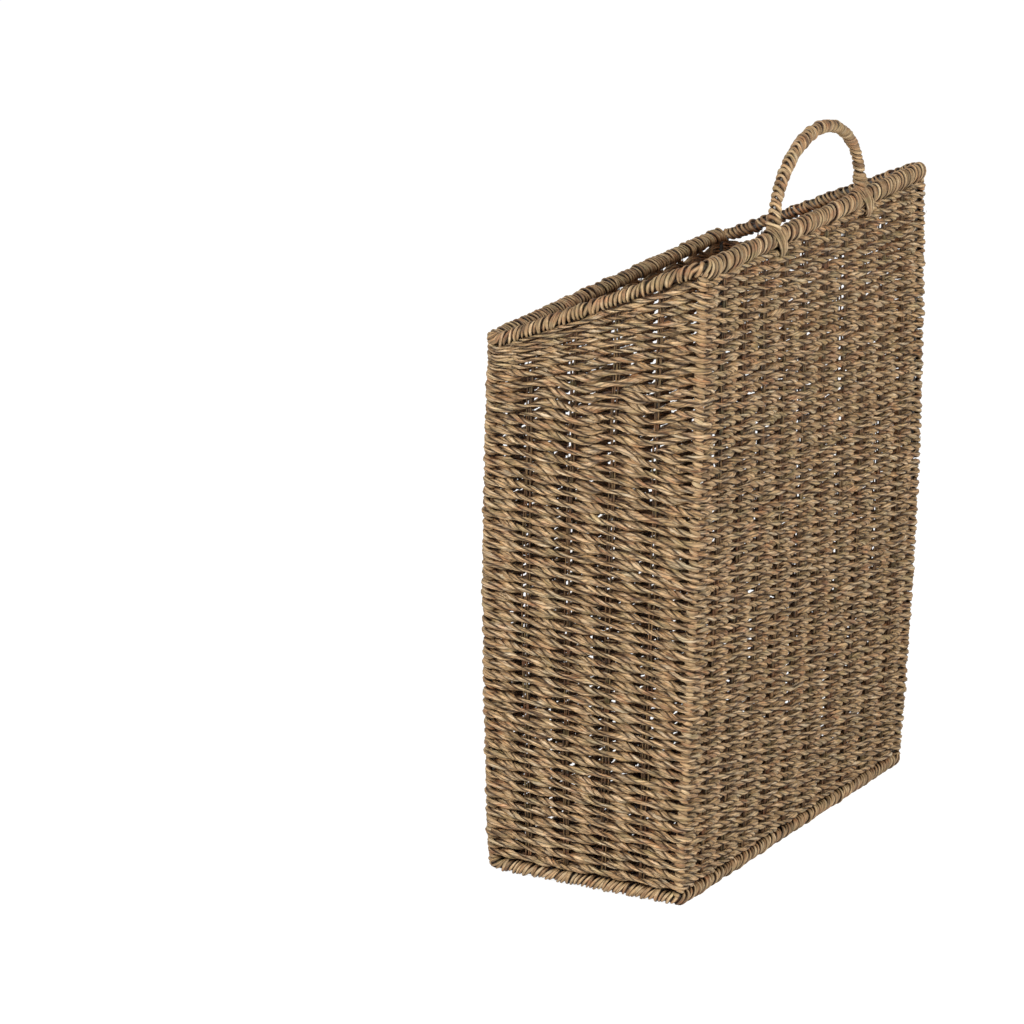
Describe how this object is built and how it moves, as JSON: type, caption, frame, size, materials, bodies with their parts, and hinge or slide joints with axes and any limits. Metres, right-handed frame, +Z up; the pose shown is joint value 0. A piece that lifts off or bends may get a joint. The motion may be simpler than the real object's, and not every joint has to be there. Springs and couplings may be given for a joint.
{
  "type": "magazine basket",
  "caption": "Tall twined seagrass magazine basket with a raised back wall, sloping sides, a low front and an arched carrying handle.",
  "frame": {"origin": "on the ground under the middle of the footprint", "axes": "+Z up, -Y out of the low front wall, +Y out of the tall back wall that carries the handle, X along the width"},
  "size_m": [0.388, 0.1848, 0.5474],
  "materials": {
    "frame_wire": "dull drawn wire, hidden in the weave",
    "stake_strands": "dry seagrass strands, matt",
    "row_cords": "twisted two-ply seagrass cord, matt",
    "wrap_strands": "flat seagrass strands, slight sheen"
  },
  "bodies": {
    "root": {"rim_wire": "frame_wire", "base_wire": "frame_wire", "handle_wire": "frame_wire", "front_left_post": "frame_wire", "front_right_post": "frame_wire", "back_left_post": "frame_wire", "back_right_post": "frame_wire", "back_stake_1": "stake_strands", "front_stake_1": "stake_strands", "floor_stake_1": "stake_strands", "back_stake_2": "stake_strands", "front_stake_2": "stake_strands", "floor_stake_2": "stake_strands", "back_stake_3": "stake_strands", "front_stake_3": "stake_strands", "floor_stake_3": "stake_strands", "back_stake_4": "stake_strands", "front_stake_4": "stake_strands", "floor_stake_4": "stake_strands", "back_stake_5": "stake_strands", "front_stake_5": "stake_strands", "floor_stake_5": "stake_strands", "back_stake_6": "stake_strands", "front_stake_6": "stake_strands", "floor_stake_6": "stake_strands", "back_stake_7": "stake_strands", "front_stake_7": "stake_strands", "floor_stake_7": "stake_strands", "back_stake_8": "stake_strands", "front_stake_8": "stake_strands", "floor_stake_8": "stake_strands", "back_stake_9": "stake_strands", "front_stake_9": "stake_strands", "floor_stake_9": "stake_strands", "back_stake_10": "stake_strands", "front_stake_10": "stake_strands", "floor_stake_10": "stake_strands", "left_stake_1": "stake_strands", "right_stake_1": "stake_strands", "left_stake_2": "stake_strands", "right_stake_2": "stake_strands", "left_stake_3": "stake_strands", "right_stake_3": "stake_strands", "left_stake_4": "stake_strands", "right_stake_4": "stake_strands", "outer_row_cord": "row_cords", "inner_row_cord": "row_cords", "floor_upper_cord": "row_cords", "floor_lower_cord": "row_cords", "rim_wrap": "wrap_strands", "base_wrap": "wrap_strands", "handle_wrap": "wrap_strands", "left_handle_lashing": "wrap_strands", "right_handle_lashing": "wrap_strands"}
  },
  "joints": []
}
